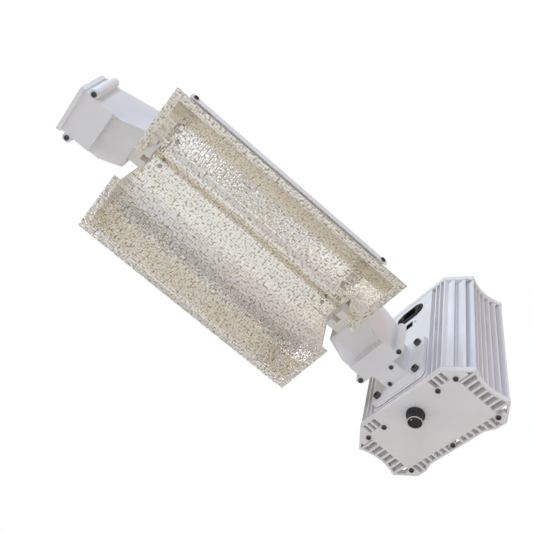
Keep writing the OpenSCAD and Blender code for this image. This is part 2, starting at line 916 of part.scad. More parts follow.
module dimmer_knob() {
    skirt_h = 5;
    grip_r = knob_d / 2 - 2.2;
    color([0.06, 0.06, 0.07]) at_knob() difference() {
        union() {
            translate([0, 0, knob_gap]) cylinder(r = knob_d / 2, h = skirt_h);
            translate([0, 0, knob_gap]) cylinder(r = grip_r, h = knob_h - knob_gap);
        }
        cylinder(r = spindle_r, h = knob_h - 3);
        // clearance round the nut
        translate([0, 0, knob_gap - tiny]) cylinder(r = 7.5, h = 4);
        // groove for the trim ring
        translate([0, 0, knob_h - 1.2]) tube(grip_r + 1, grip_r - 0.8, 2);
        // grip flutes
        for (a = [0:18:359])
            rotate([0, 0, a]) translate([grip_r + 0.5, 0, skirt_h + knob_gap + 1.5])
                cylinder(r = 0.9, h = knob_h, $fn = 16);
    }
}

module knob_trim_ring() {
    grip_r = knob_d / 2 - 2.2;
    color("silver") at_knob() translate([0, 0, knob_h - 1.2]) tube(grip_r, grip_r - 0.8, 1);
}

module dimmer_spindle() {
    color("silver") at_knob() translate([0, 0, -cap_t - 4]) cylinder(r = spindle_r, h = knob_h - 3 + cap_t + 4);
}

// Rotary switch behind the cap: body inside the ballast and a threaded bush through the cap.
module dimmer_switch() {
    color("darkslategray") at_knob() difference() {
        union() {
            translate([0, 0, -3]) cylinder(r = bush_r, h = 5.5);
            translate([0, 0, -cap_t - 14]) cylinder(r = 11, h = cap_t + 11);
        }
        translate([0, 0, -cap_t - 4.5]) cylinder(r = spindle_r + 0.05, h = 30);
    }
}

module dimmer_nut() {
    color("silver") at_knob() difference() {
        cylinder(r = 6.6, h = 2, $fn = 6);
        translate([0, 0, -1]) cylinder(r = bush_r, h = 4);
    }
}

/* ---------- inlet, control port, status lamp ---------- */

module at_inlet() {
    at_row() translate([front_x, inlet_y, inlet_z]) rotate([90, 0, -90]) children();
}

module inlet_screw_places() {
    for (s = [-1, 1])
        translate([front_x, inlet_y + s * 20, inlet_z]) rotate([0, -90, 0]) children();
}

// Flanged three-pin inlet: x across, y up, z outwards.
module mains_inlet() {
    color([0.05, 0.05, 0.06]) difference() {
        at_inlet() union() {
            linear_extrude(3) {
                polygon([
                    [-25, -4], [-22, -7], [-14, -11.3], [14, -11.3], [22, -7], [25, -4],
                    [25, 4], [22, 7], [14, 11.3], [-14, 11.3], [-22, 7], [-25, 4]
                ]);
            }
            translate([-13.5, -9.7, -20]) cube([27, 19.4, 21]);
        }
        at_inlet() translate([0, 0, -15]) linear_extrude(20)
            polygon([
                [-12, -8], [12, -8], [12, 4], [8, 8], [-8, 8], [-12, 4]
            ]);
        at_row() inlet_screw_places() translate([0, 0, -2]) cylinder(r = 1.6, h = 8, $fn = 24);
        pin_blades();
    }
}

module inlet_pins() {
    color("silver") pin_blades();
}

module pin_blades() {
    at_inlet() for (p = [[-7, -2], [7, -2], [0, 2]])
        translate([p[0] - 1, p[1] - 2, -18]) cube([2, 4, 15]);
}

module inlet_screws() {
    color("dimgray") at_row() inlet_screw_places()
        translate([0, 0, 3]) screw(3, 1.6, 1.6, 9);
}

module control_port() {
    color([0.08, 0.08, 0.09]) at_row() difference() {
        union() {
            translate([front_x - 0.8, port_y - 7, port_z - 5.5]) cube([0.8, 14, 11]);
            translate([front_x, port_y - 7, port_z - 5.5]) cube([14, 14, 11]);
        }
        translate([front_x - 2, port_y - 5.5, port_z - 4]) cube([13, 11, 6]);
        translate([front_x - 2, port_y - 3, port_z + 1.5]) cube([13, 6, 2.5]);
    }
}

module status_lamp() {
    color("palegreen") at_row() translate([front_x, status_y, port_z]) rotate([0, 90, 0]) {
        cylinder(r = 1.5, h = 5, $fn = 24);
        sphere(r = 1.5, $fn = 24);
    }
}

/* ---------- inside the ballast ---------- */

board_x = front_x + core_back - core_wall - 9;
board_z0 = 20;
board_h = 170;
board_half = 68;

module standoff_places() {
    for (s = [-1, 1], z = [board_z0 + 8, board_z0 + board_h - 8])
        translate([board_x, s * (board_half - 7), z]) rotate([0, 90, 0]) children();
}

module circuit_board() {
    color("darkgreen") at_row() difference() {
        translate([board_x - 1.6, -board_half, board_z0]) cube([1.6, 2 * board_half, board_h]);
        standoff_places() translate([0, 0, -3]) cylinder(r = 1.6, h = 6, $fn = 24);
    }
}

module board_standoffs() {
    color("silver") at_row() standoff_places() {
        tube(3.5, 1.6, 9);
        translate([0, 0, -1.6]) mirror([0, 0, 1]) screw(2.8, 1.8, 1.6, 0.01);
        translate([0, 0, -1.6]) cylinder(r = 1.6, h = 9, $fn = 24);
    }
}

// Two stacked transformers: closed core frames round their windings.
transformer_z = [95, 145];
core_w = 42;
core_h = 35;
core_d = 26;
limb = 8;

module at_transformers() {
    at_row() for (z = transformer_z) translate([board_x - 1.6 - core_d, -core_w / 2 + 20, z]) children();
}

module transformer_core() {
    color("dimgray") at_transformers() difference() {
        cube([core_d, core_w, core_h]);
        for (y = [limb, core_w / 2 + 5])
            translate([-1, y, limb]) cube([core_d + 2, core_w / 2 - limb - 5, core_h - 2 * limb]);
    }
}

module transformer_winding() {
    color("peru") at_transformers() translate([2, limb + 0.2, limb + 0.2])
        difference() {
            cube([core_d - 4, core_w - 2 * limb - 0.4, core_h - 2 * limb - 0.4]);
            translate([-1, core_w / 2 - limb - 5.2, -1]) cube([core_d, 10, core_h]);
        }
}

module capacitors() {
    color("midnightblue") at_row() for (y = [-50, -30], z = [60, 84])
        translate([board_x - 1.6 - 30, y, z]) rotate([0, 90, 0]) cylinder(r = 9, h = 30);
}

module heat_spreader() {
    color("silver") at_row() translate([board_x - 1.6 - 22, -62, 120]) cube([22, 6, 55]);
}

/* ---------- hangers ---------- */

module hanger_ballast_screw_places() {
    for (s = [-1, 1]) translate([hang_x + s * 16, 0, ballast_top + strip_t]) children();
}

// Eye strap: foot plate with an upright ear, its hole along Y.
module eye_strap(foot_half, ear_h) {
    difference() {
        union() {
            translate([-foot_half, -9, 0]) cube([2 * foot_half, 18, strip_t]);
            translate([-10, -strip_t / 2, 0]) cube([20, strip_t, ear_h]);
            translate([0, strip_t / 2, ear_h]) rotate([90, 0, 0]) cylinder(r = 10, h = strip_t);
        }
        translate([0, strip_t, ear_h]) rotate([90, 0, 0]) cylinder(r = hang_r, h = 2 * strip_t);
        for (s = [-1, 1]) translate([s * 16, 0, -1]) cylinder(r = 2, h = strip_t + 2, $fn = 24);
    }
}

module hanger_ballast() {
    color("silver") at_row() translate([hang_x, 0, ballast_top])
        eye_strap(24, hang_z - ballast_top);
}

// The housing's top slopes, so the free end's strap stands on its own flat pad there.
pad_tilt = atan((house_high_z - house_box_z) / (boss_x - house_high_x));
pad_x = (boss_x + house_high_x) / 2;
pad_z = (house_high_z + house_box_z) / 2;

module on_free_pad() {
    translate([pad_x, 0, pad_z]) rotate([0, pad_tilt, 0]) children();
}

module hanger_free_holes() {
    on_free_pad() for (s = [-1, 1]) translate([s * 16, 0, -12]) cylinder(r = 2, h = 14, $fn = 24);
}

module hanger_free() {
    color("silver") at_row() free_end() on_free_pad() eye_strap(22, 22);
}

module hanger_screws() {
    color("dimgray") at_row() {
        hanger_ballast_screw_places() screw(3.6, 2.4, 2, strip_t + 6);
        free_end() on_free_pad() for (s = [-1, 1])
            translate([s * 16, 0, strip_t]) screw(3.6, 2.4, 2, strip_t + 5);
    }
}

reflector_trough();
reflector_end_free();
reflector_end_ballast();
reflector_rivets();
cross_strap_free();
cross_strap_ballast();
strap_spacers();
reflector_screws();
canopy();
canopy_screws();
spine();
spine_screws();
socket_housing_free();
socket_housing_ballast();
housing_cover_free();
housing_cover_ballast();
housing_cover_screws();
end_plate();
end_plate_screws();
lampholder_free();
lampholder_ballast();
lampholder_screws();
contact_plunger_free();
contact_plunger_ballast();
contact_spring_free();
contact_spring_ballast();
lamp_lead_free();
lamp_lead_ballast();
neck_bracket();
neck_cover();
neck_cover_screws();
neck_screws();
flange_gasket();
flange_bolts();
heat_sink();
cooling_fins();
lower_end_cap();
upper_end_cap();
lower_cap_gasket();
upper_cap_gasket();
end_cap_screws();
dimmer_knob();
knob_trim_ring();
dimmer_spindle();
dimmer_switch();
dimmer_nut();
mains_inlet();
inlet_pins();
inlet_screws();
control_port();
status_lamp();
circuit_board();
board_standoffs();
transformer_core();
transformer_winding();
capacitors();
heat_spreader();
hanger_free();
hanger_ballast();
hanger_screws();
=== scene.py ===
"""Looks of the grow lamp: materials, hammered reflector, dimmer knob, light and camera."""

import math

import bpy
import numpy as np
from mathutils import Matrix, Vector


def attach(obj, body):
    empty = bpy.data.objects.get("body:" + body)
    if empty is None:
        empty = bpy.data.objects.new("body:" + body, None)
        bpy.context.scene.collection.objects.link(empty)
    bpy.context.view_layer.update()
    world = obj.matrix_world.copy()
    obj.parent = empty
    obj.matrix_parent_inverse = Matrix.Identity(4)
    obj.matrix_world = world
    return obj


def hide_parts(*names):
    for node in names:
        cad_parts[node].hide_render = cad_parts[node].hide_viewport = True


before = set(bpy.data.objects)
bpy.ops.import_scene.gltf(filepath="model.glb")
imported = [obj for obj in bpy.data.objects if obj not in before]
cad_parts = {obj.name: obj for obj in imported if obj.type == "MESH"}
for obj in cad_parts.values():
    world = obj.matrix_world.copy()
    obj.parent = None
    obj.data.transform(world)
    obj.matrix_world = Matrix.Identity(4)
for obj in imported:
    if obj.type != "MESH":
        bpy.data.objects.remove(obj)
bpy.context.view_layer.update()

MM = 0.001

# Driving dimensions of the CAD model, in millimetres, in the reflector's own frame: X along the
# lamp from the middle of the mouth, Y across it and Z up from the rim.
RIM_TO_ROW = Vector((-335.0, 0.0, -228.8))
RIM_L = 348.0
RIM_W = 240.0
LIP_W = 10.0
SHEET_T = 1.0
TROUGH_H = 84.0
NOTCH_HALF = 24.0
NOTCH_H = 60.0
END_LEAN = 5.5 / 82.0
WALL_X = RIM_L / 2 - LIP_W
MOUTH_HALF = RIM_W / 2 - LIP_W - 1.5
SHOULDER = (47.0, 76.0)
WALL_TOP = (54.0, 73.5)
WALL_BEND = (95.0, 35.0)
WALL_BOW = 4.0
RIDGE_Y = 14.0
RIDGE_DROP = 8.0
KNOB_AT = Vector((309.0, 0.0, -17.2))
KNOB_D = 24.5
KNOB_H = 17.0
KNOB_GAP = 0.6
DOT_AT = Vector((-6.4, 0.0, 0.0))
DIAL_SWEEP = 270.0    # degrees from the first tick to the last
DIAL_STEPS = 10
TICK_START = 16.2     # distance of a tick from the knob's axis
TICK_LONG = 2.6
TICK_SHORT = 1.6
TICK_HALF_W = 0.3
TICK_TOP = 0.02
TICK_BOTTOM = -0.06


# ---------- camera, light and floor ----------

def add_camera():
    """The camera that looks up into the reflector from below and in front."""
    aim = Vector((0.15106, 0.52768, 0.8359)).normalized()
    up = Vector((-0.63384, -0.5972, 0.49154))
    side = aim.cross(up).normalized()
    up = side.cross(aim)
    camera = bpy.data.objects.new("camera", bpy.data.cameras.new("camera"))
    camera.data.sensor_width = 36.0
    camera.data.lens = 44.96
    camera.matrix_world = Matrix.Translation((-0.42029, -0.44839, -0.91425)) @ Matrix(
        (side, up, -aim)
    ).transposed().to_4x4()
    bpy.context.scene.collection.objects.link(camera)
    bpy.context.scene.camera = camera


# Soft boxes: where each one stands as a direction from the lamp, its distance in metres, its
# colour and its power in watts. These colours and powers, and WORLD_LIGHT, came out of a fitting
# program. They are not chosen values, and plain neutral ones should take their place.
LIGHTS = {
    "high_free_end": ((-0.906, 0.000, 0.423), 1.9, (0.74, 0.87, 1.00), 18.0),
    "low_back_ballast": ((0.696, 0.696, -0.174), 1.9, (1.00, 0.80, 0.62), 3.5),
    "low_back_free": ((-0.696, 0.696, -0.174), 1.9, (1.00, 0.80, 0.60), 4.6),
    "low_front_free": ((-0.696, -0.696, -0.174), 1.9, (0.66, 0.75, 1.00), 15.7),
    "low_front": ((-0.000, -0.985, -0.174), 1.9, (0.77, 0.84, 1.00), 1.6),
    "low_front_ballast": ((0.696, -0.696, -0.174), 1.9, (1.00, 0.83, 0.83), 9.9),
    "back_ballast": ((0.302, 0.728, -0.616), 1.9, (0.78, 0.86, 1.00), 2.1),
    "back_free": ((-0.302, 0.728, -0.616), 1.9, (0.72, 0.82, 1.00), 3.0),
    "below": ((0.000, 0.000, -1.000), 1.1, (0.86, 0.98, 1.00), 0.5),
}
LIGHT_SIZE = 0.9
LIGHT_CENTRE = Vector((-0.24, 0.0, -0.16))
WORLD_SEEN = (1.0, 1.0, 1.0)
WORLD_LIGHT = (0.309, 0.289, 0.255)


def add_lights():
    for name, (towards, distance, colour, power) in LIGHTS.items():
        lamp = bpy.data.lights.new(name, "AREA")
        lamp.shape = "DISK"
        lamp.size = LIGHT_SIZE
        lamp.color = colour
        lamp.energy = power
        direction = Vector(towards).normalized()
        holder = bpy.data.objects.new(name, lamp)
        holder.location = LIGHT_CENTRE + direction * distance
        holder.rotation_mode = "QUATERNION"
        holder.rotation_quaternion = direction.to_track_quat("Z", "Y")
        holder.visible_camera = False
        bpy.context.scene.collection.objects.link(holder)


def add_world():
    """White behind the lamp, with its own softer strength as a light."""
    world = bpy.data.worlds.new("studio")
    world.use_nodes = True
    tree = world.node_tree
    tree.nodes.clear()
    path = tree.nodes.new("ShaderNodeLightPath")
    seen = tree.nodes.new("ShaderNodeBackground")
    seen.inputs["Color"].default_value = (*WORLD_SEEN, 1.0)
    light = tree.nodes.new("ShaderNodeBackground")
    light.inputs["Color"].default_value = (*WORLD_LIGHT, 1.0)
    mix = tree.nodes.new("ShaderNodeMixShader")
    out = tree.nodes.new("ShaderNodeOutputWorld")
    tree.links.new(path.outputs["Is Camera Ray"], mix.inputs[0])
    tree.links.new(light.outputs[0], mix.inputs[1])
    tree.links.new(seen.outputs[0], mix.inputs[2])
    tree.links.new(mix.outputs[0], out.inputs[0])
    bpy.context.scene.world = world
    bpy.context.scene.view_settings.view_transform = "Standard"


def add_floor():
    size, height = 5.0, -1.35
    mesh = bpy.data.meshes.new("floor")
    corners = [(-size, -size, height), (size, -size, height), (size, size, height), (-size, size, height)]
    mesh.from_pydata(corners, [], [(0, 1, 2, 3)])
    floor = bpy.data.objects.new("floor", mesh)
    bpy.context.scene.collection.objects.link(floor)
    mesh.materials.append(floor_paint())


# ---------- material building ----------

class Shader:
    """A Principled material with a few helpers for its nodes."""

    def __init__(self, name, colour, roughness, metallic=0.0, **sockets):
        self.material = bpy.data.materials.new(name)
        self.material.use_nodes = True
        self.tree = self.material.node_tree
        self.surface = self.tree.nodes["Principled BSDF"]
        self.set("Base Color", (*colour, 1.0))
        self.set("Roughness", roughness)
        self.set("Metallic", metallic)
        for socket, value in sockets.items():
            self.set(socket.replace("_", " "), value)
        self.place = self.tree.nodes.new("ShaderNodeTexCoord").outputs["Object"]
        self.height = None

    def set(self, socket, value):
        self.surface.inputs[socket].default_value = value

    def link(self, output, socket):
        self.tree.links.new(output, socket)

    def node(self, kind, **inputs):
        made = self.tree.nodes.new(kind)
        for name, value in inputs.items():
            made.inputs[name.replace("_", " ")].default_value = value
        return made

    def stretched(self, scale):
        """Object coordinates stretched by a factor along each axis."""
        mapping = self.node("ShaderNodeMapping", Scale=scale)
        self.link(self.place, mapping.inputs["Vector"])
        return mapping.outputs["Vector"]

    def noise(self, size, detail=2.0, rough=0.5, place=None):
        """Noise whose features are about size metres wide."""
        made = self.node("ShaderNodeTexNoise", Scale=1.0 / size, Detail=detail, Roughness=rough)
        self.link(place or self.place, made.inputs["Vector"])
        return made.outputs["Fac"]

    def cells(self, size, feature="F1"):
        made = self.node("ShaderNodeTexVoronoi", Scale=1.0 / size)
        made.feature = feature
        self.link(self.place, made.inputs["Vector"])
        return made.outputs["Distance"]

    def ramp(self, value, stops):
        made = self.tree.nodes.new("ShaderNodeValToRGB")
        elements = made.color_ramp.elements
        while len(elements) < len(stops):
            elements.new(0.5)
        for element, (at, colour) in zip(elements, stops):
            element.position = at
            element.color = (*colour, 1.0)
        self.link(value, made.inputs["Fac"])
        return made.outputs["Color"]

    def span(self, value, low, high):
        made = self.node("ShaderNodeMapRange")
        made.inputs["From Min"].default_value = 0.3
        made.inputs["From Max"].default_value = 0.7
        made.inputs["To Min"].default_value = low
        made.inputs["To Max"].default_value = high
        self.link(value, made.inputs["Value"])
        return made.outputs["Result"]

    def bump(self, value, depth):
        """Adds a relief of the given depth in metres on top of the earlier one."""
        made = self.node("ShaderNodeBump", Strength=1.0, Distance=depth)
        self.link(value, made.inputs["Height"])
        if self.height is not None:
            self.link(self.height, made.inputs["Normal"])
        self.height = made.outputs["Normal"]
        self.link(self.height, self.surface.inputs["Normal"])

    def mark(self, name):
        """A value that the mesh holds for each of its points."""
        made = self.tree.nodes.new("ShaderNodeAttribute")
        made.attribute_name = name
        return made.outputs["Fac"]

    def times(self, one, other):
        made = self.tree.nodes.new("ShaderNodeMix")
        made.data_type = "RGBA"
        made.blend_type = "MULTIPLY"
        made.inputs["Factor"].default_value = 1.0
        self.link(one, made.inputs[6])
        self.link(other, made.inputs[7])
        return made.outputs[2]

    def soft_edges(self, radius):
        made = self.node("ShaderNodeBevel", Radius=radius)
        made.samples = 4
        self.height = made.outputs["Normal"]
        self.link(self.height, self.surface.inputs["Normal"])

    def colour(self, output):
        self.link(output, self.surface.inputs["Base Color"])

    def rough(self, output):
        self.link(output, self.surface.inputs["Roughness"])


def tinted(colour, amount):
    return tuple(min(1.0, c * amount) for c in colour)


def floor_paint():
    s = Shader("floor_paint", (0.86, 0.86, 0.86), 0.7)
    s.colour(s.ramp(s.noise(0.4), [(0.3, (0.84, 0.84, 0.84)), (0.7, (0.88, 0.88, 0.88))]))
    return s.material


def white_paint():
    """Powder coat: a fine orange peel with slight unevenness in tone and gloss."""
    tone = (0.86, 0.85, 0.845)
    s = Shader("white_paint", tone, 0.45, Specular_IOR_Level=0.45)
    cloud = s.noise(0.05, detail=3.0)
    s.colour(s.ramp(cloud, [(0.3, tinted(tone, 0.97)), (0.7, tinted(tone, 1.02))]))
    s.rough(s.span(s.noise(0.012, detail=3.0), 0.4, 0.52))
    s.soft_edges(0.0006)
    s.bump(s.noise(0.0016, detail=1.0), 0.00003)
    s.bump(s.noise(0.0005, detail=1.0), 0.00001)
    return s.material


def hammered_aluminium():
    """Bright champagne sheet: satin pebbles, some of them golden, with painted shade darkening the valleys
    between them.
    """
    s = Shader("hammered_aluminium", (0.9, 0.85, 0.76), 0.2, metallic=1.0)
    tops = s.ramp(s.mark("pebble_tint"), [
        (0.0, (1.0, 0.98, 0.94)), (0.5, (0.98, 0.94, 0.87)), (1.0, (0.97, 0.9, 0.76)),
    ])
    # Painted shade: the colour darkens where the pebble height falls into the valleys between pebbles.
    valley_painted_shade = s.ramp(s.mark("pebble_height"), [
        (0.0, (0.34, 0.31, 0.28)), (0.2, (0.78, 0.75, 0.71)), (0.45, (1.0, 1.0, 1.0)),
    ])
    s.colour(s.times(tops, valley_painted_shade))
    s.rough(s.span(s.noise(0.004, detail=3.0), 0.12, 0.22))
    s.bump(s.noise(0.0011, detail=2.0), 0.00005)
    return s.material


def metal(name, colour, roughness, grain, stretch=(1.0, 1.0, 1.0)):
    s = Shader(name, colour, roughness, metallic=1.0)
    lines = s.noise(grain, detail=3.0, place=s.stretched(stretch))
    s.colour(s.ramp(lines, [(0.3, tinted(colour, 0.9)), (0.7, tinted(colour, 1.06))]))
    s.rough(s.span(lines, roughness * 0.8, roughness * 1.25))
    s.bump(lines, 0.00001)
    return s.material


def moulded(name, colour, roughness, grain, **sockets):
    s = Shader(name, colour, roughness, **sockets)
    spark = s.noise(grain, detail=3.0)
    s.colour(s.ramp(spark, [(0.3, tinted(colour, 0.88)), (0.7, tinted(colour, 1.1))]))
    s.rough(s.span(spark, roughness * 0.85, roughness * 1.2))
    s.soft_edges(0.0003)
    s.bump(s.noise(grain, detail=1.0), 0.00001)
    return s.material


def circuit_green():
    colour = (0.03, 0.16, 0.07)
    s = Shader("circuit_board", colour, 0.4)
    tracks = s.cells(0.004, "DISTANCE_TO_EDGE")
    s.colour(s.ramp(tracks, [(0.04, (0.06, 0.26, 0.11)), (0.09, colour)]))
    s.bump(tracks, 0.00002)
    return s.material


def wound_wire():
    s = Shader("winding", (0.5, 0.26, 0.09), 0.35)
    turns = s.tree.nodes.new("ShaderNodeTexWave")
    turns.inputs["Scale"].default_value = 320.0
    turns.bands_direction = "Z"
    s.link(s.place, turns.inputs["Vector"])
    s.colour(s.ramp(turns.outputs["Fac"], [(0.2, (0.3, 0.13, 0.04)), (0.7, (0.62, 0.34, 0.13))]))
    s.bump(turns.outputs["Fac"], 0.0002)
    return s.material


def make_materials():
    return {
        "white_paint": white_paint(),
        "hammered_aluminium": hammered_aluminium(),
        "bare_aluminium": metal("bare_aluminium", (0.75, 0.75, 0.77), 0.3, 0.002, (1, 1, 12)),
        "dark_screw": metal("dark_screw", (0.13, 0.12, 0.12), 0.35, 0.0008),
        "zinc_steel": metal("zinc_steel", (0.62, 0.63, 0.65), 0.32, 0.002, (12, 1, 1)),
        "ceramic": moulded("ceramic", (0.82, 0.79, 0.72), 0.6, 0.001),
        "brass": metal("brass", (0.72, 0.56, 0.28), 0.3, 0.001),
        "black_plastic": moulded("black_plastic", (0.012, 0.012, 0.014), 0.38, 0.0012),
        "knob_plastic": moulded("knob_plastic", (0.010, 0.010, 0.011), 0.42, 0.0009),
        "trim_silver": metal("trim_silver", (0.86, 0.86, 0.87), 0.16, 0.0009),
        "lead_sleeve": moulded("lead_sleeve", (0.84, 0.82, 0.77), 0.7, 0.0008),
        "gasket": moulded("gasket", (0.03, 0.03, 0.03), 0.8, 0.0008),
        "circuit_board": circuit_green(),
        "ferrite": moulded("ferrite", (0.05, 0.05, 0.055), 0.6, 0.001),
        "winding": wound_wire(),
        "capacitor_sleeve": moulded("capacitor_sleeve", (0.02, 0.025, 0.09), 0.3, 0.002),
        "green_lens": moulded("green_lens", (0.2, 0.6, 0.26), 0.15, 0.001, Coat_Weight=0.5),
        "white_mark": moulded("white_mark", (0.85, 0.85, 0.85), 0.5, 0.001),
        "grey_print": moulded("grey_print", (0.42, 0.41, 0.42), 0.6, 0.0006),
    }


def dress_frame():
    """Gives each carried-over CAD node the procedural material of its slot."""
    for node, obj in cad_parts.items():
        for slot in obj.material_slots:
            base = slot.material.name.split(".")[0]
            slot.material = MATERIALS[base]


# ---------- hammered sheet ----------

PEBBLE = 3.2          # pitch of the hammered pebbles
PEBBLE_RISE = 0.5
GRID = 0.9            # spacing of the relief's points


def pebbles(u, v, seed):
    """Relief from 0 to 1 of irregular pebbles over flat coordinates u and v, and their tints."""
    rng = np.random.default_rng(seed)
    across = (u - u.min()) / PEBBLE + 1
    along = (v - v.min()) / PEBBLE + 1
    cells = (int(across.max()) + 3, int(along.max()) + 3)
    offset = 0.2 + 0.6 * rng.random((*cells, 2))
    rise = 0.45 + 0.55 * rng.random(cells)
    shade = rng.random(cells)
    column, row = across.astype(int), along.astype(int)
    nearest = np.full(u.shape, 9.0)
    height = np.zeros(u.shape)
    tint = np.zeros(u.shape)
    for i in (-1, 0, 1):
        for j in (-1, 0, 1):
            at = (column + i, row + j)
            gap = np.hypot(at[0] + offset[at][..., 0] - across, at[1] + offset[at][..., 1] - along)
            nearer = gap < nearest
            nearest = np.where(nearer, gap, nearest)
            height = np.where(nearer, rise[at], height)
            tint = np.where(nearer, shade[at], tint)
    return height * np.clip(1 - (nearest / 0.66) ** 2, 0, 1), tint


def sheet_faces(cells, back):
    """Quads of a closed sheet: its front cells, the same cells behind and the edge all round.

    cells marks which cells of the grid are there, and back is what to add to the number of a
    front point to reach the point behind it.
    """
    rows, columns = cells.shape
    number = np.arange((rows + 1) * (columns + 1)).reshape(rows + 1, columns + 1)
    corners = np.stack(
        [number[:-1, :-1], number[:-1, 1:], number[1:, 1:], number[1:, :-1]], axis=-1
    )[cells]
    faces = [corners, corners[:, ::-1] + back]
    padded = np.pad(cells, 1)
    neighbours = (padded[:-2, 1:-1], padded[1:-1, 2:], padded[2:, 1:-1], padded[1:-1, :-2])
    for side, neighbour in enumerate(neighbours):
        bare = ~neighbour[cells]
        start, end = corners[bare, side], corners[bare, (side + 1) % 4]
        faces.append(np.stack([start, start + back, end + back, end], axis=-1))
    return np.concatenate(faces)


def joined_mesh(name, sheets, slot):
    """One object from several (points, faces, marks) sheets given in the reflector's frame.

    The marks are each point's pebble height and tint, from 0 to 1, which the material reads.
    """
    points, faces, marks, count = [], [], [], 0
    for sheet_points, sheet_quads, sheet_marks in sheets:
        used, quads = np.unique(sheet_quads, return_inverse=True)
        points.append(sheet_points[used])
        marks.append(sheet_marks[used])
        faces.append(quads.reshape(sheet_quads.shape) + count)
        count += len(used)
    mesh = bpy.data.meshes.new(name)
    row_points = (np.concatenate(points) + np.array(RIM_TO_ROW)) * MM
    mesh.from_pydata(row_points.tolist(), [], np.concatenate(faces).tolist())
    for mark, values in zip(("pebble_height", "pebble_tint"), np.concatenate(marks).T):
        attribute = mesh.attributes.new(mark, "FLOAT", "POINT")
        attribute.data.foreach_set("value", values.astype(np.float32))
    mesh.shade_smooth()
    mesh.set_sharp_from_angle(angle=math.radians(50))
    return add_piece(name, mesh, slot)


def add_piece(name, mesh, slot, material=None, body="root"):
    mesh.materials.append(MATERIALS[material or slot])
    piece = bpy.data.objects.new(name, mesh)
    bpy.context.scene.collection.objects.link(piece)
    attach(piece, body)
    return piece


def slab(front, outward, relief, rise=PEBBLE_RISE, cells=None):
    """A closed sheet whose front follows a grid of points, raised by its (height, tint) relief."""
    if cells is None:
        cells = np.ones((front.shape[0] - 1, front.shape[1] - 1), bool)
    face = (front + outward * (relief[0] * rise)[..., None]).reshape(-1, 3)
    behind = (front - outward * SHEET_T).reshape(-1, 3)
    marks = np.stack([part.ravel() for part in relief], axis=-1)
    plain = np.full_like(marks, 0.5)
    return np.concatenate([face, behind]), sheet_faces(cells, len(face)), np.concatenate([marks, plain])


def flipped(sheet):
    """The same sheet at the other end of the lamp."""
    points, faces, marks = sheet
    return points * np.array([-1.0, 1.0, 1.0]), faces[:, ::-1], marks


def steps(low, high, size=GRID):
    return np.linspace(low, high, max(2, round(abs(high - low) / size) + 1))


def bowed(start, end, bow, count):
    """Points between two ends of a shallow parabolic bow."""
    start, end = np.array(start), np.array(end)
    chord = end - start
    across = np.array([chord[1], -chord[0]]) / np.linalg.norm(chord)
    return [tuple(start + chord * t + across * bow * 4 * t * (1 - t)) for t in np.linspace(0, 1, count)]


def trough_half():
    """Outline of the trough from its lip at +Y to the middle of the ridge."""
    return [
        (RIM_W / 2, 0.0), (MOUTH_HALF, 0.0), (MOUTH_HALF - 6.5, 18.0),
        *bowed(WALL_BEND, WALL_TOP, WALL_BOW, 10),
        SHOULDER, (RIDGE_Y, TROUGH_H), (4.0, TROUGH_H - RIDGE_DROP + 0.8),
        (0.0, TROUGH_H - RIDGE_DROP),
    ]


def rounded(points, radius, count=6):
    """The outline with each inner corner turned into a short parabolic fillet."""
    points = [np.array(p) for p in points]
    path = [points[0]]
    for before, corner, after in zip(points, points[1:], points[2:]):
        reach_in = min(radius, np.linalg.norm(before - corner) / 2)
        reach_out = min(radius, np.linalg.norm(after - corner) / 2)
        start = corner + (before - corner) / np.linalg.norm(before - corner) * reach_in
        end = corner + (after - corner) / np.linalg.norm(after - corner) * reach_out
        for t in np.linspace(0, 1, count):
            path.append(start * (1 - t) ** 2 + corner * 2 * t * (1 - t) + end * t ** 2)
    path.append(points[-1])
    return np.array(path)


def trough_path():
    """(positions along the outline, its y and z, its inward normals), evenly spaced."""
    half = trough_half()
    path = rounded(half + [(-y, z) for y, z in reversed(half[:-1])], 3.0)
    reach = np.concatenate([[0], np.cumsum(np.linalg.norm(np.diff(path, axis=0), axis=1))])
    at = steps(0, reach[-1])
    line = np.stack([np.interp(at, reach, path[:, k]) for k in (0, 1)], axis=-1)
    slope = np.gradient(line, axis=0)
    slope /= np.linalg.norm(slope, axis=1)[:, None]
    return at, line, np.stack([-slope[:, 1], slope[:, 0]], axis=-1)


def end_x(z):
    """Where the leaning end wall is at height z."""
    return WALL_X - END_LEAN * z


def trough_band(path, keep, x_low, x_high, offset, seed=None):
    """Sheet that follows the kept stretch of the outline, offset outwards from it."""
    at, line, inward = (part[keep] for part in path)
    share = steps(0, 1, GRID / (RIM_L if seed else 24.0))
    place, y, z, normal_y, normal_z = (
        np.repeat(column[:, None], len(share), axis=1) for column in (at, *line.T, *inward.T)
    )
    limit = end_x(z)
    x = x_low(limit) + (x_high(limit) - x_low(limit)) * share
    normal = np.stack([np.zeros_like(x), normal_y, normal_z], -1)
    front = np.stack([x, y, z], -1) - normal * offset
    relief = pebbles(place, x, seed) if seed else np.full((2, *x.shape), 0.5)
    return front, normal, relief


def make_trough(path):
    everything = np.ones(len(path[0]), bool)
    band = trough_band(path, everything, lambda x: -x, lambda x: x, 0.0, seed=11)
    trough = joined_mesh("trough_hammered", [slab(*band)], "hammered_aluminium")
    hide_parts("reflector_trough")


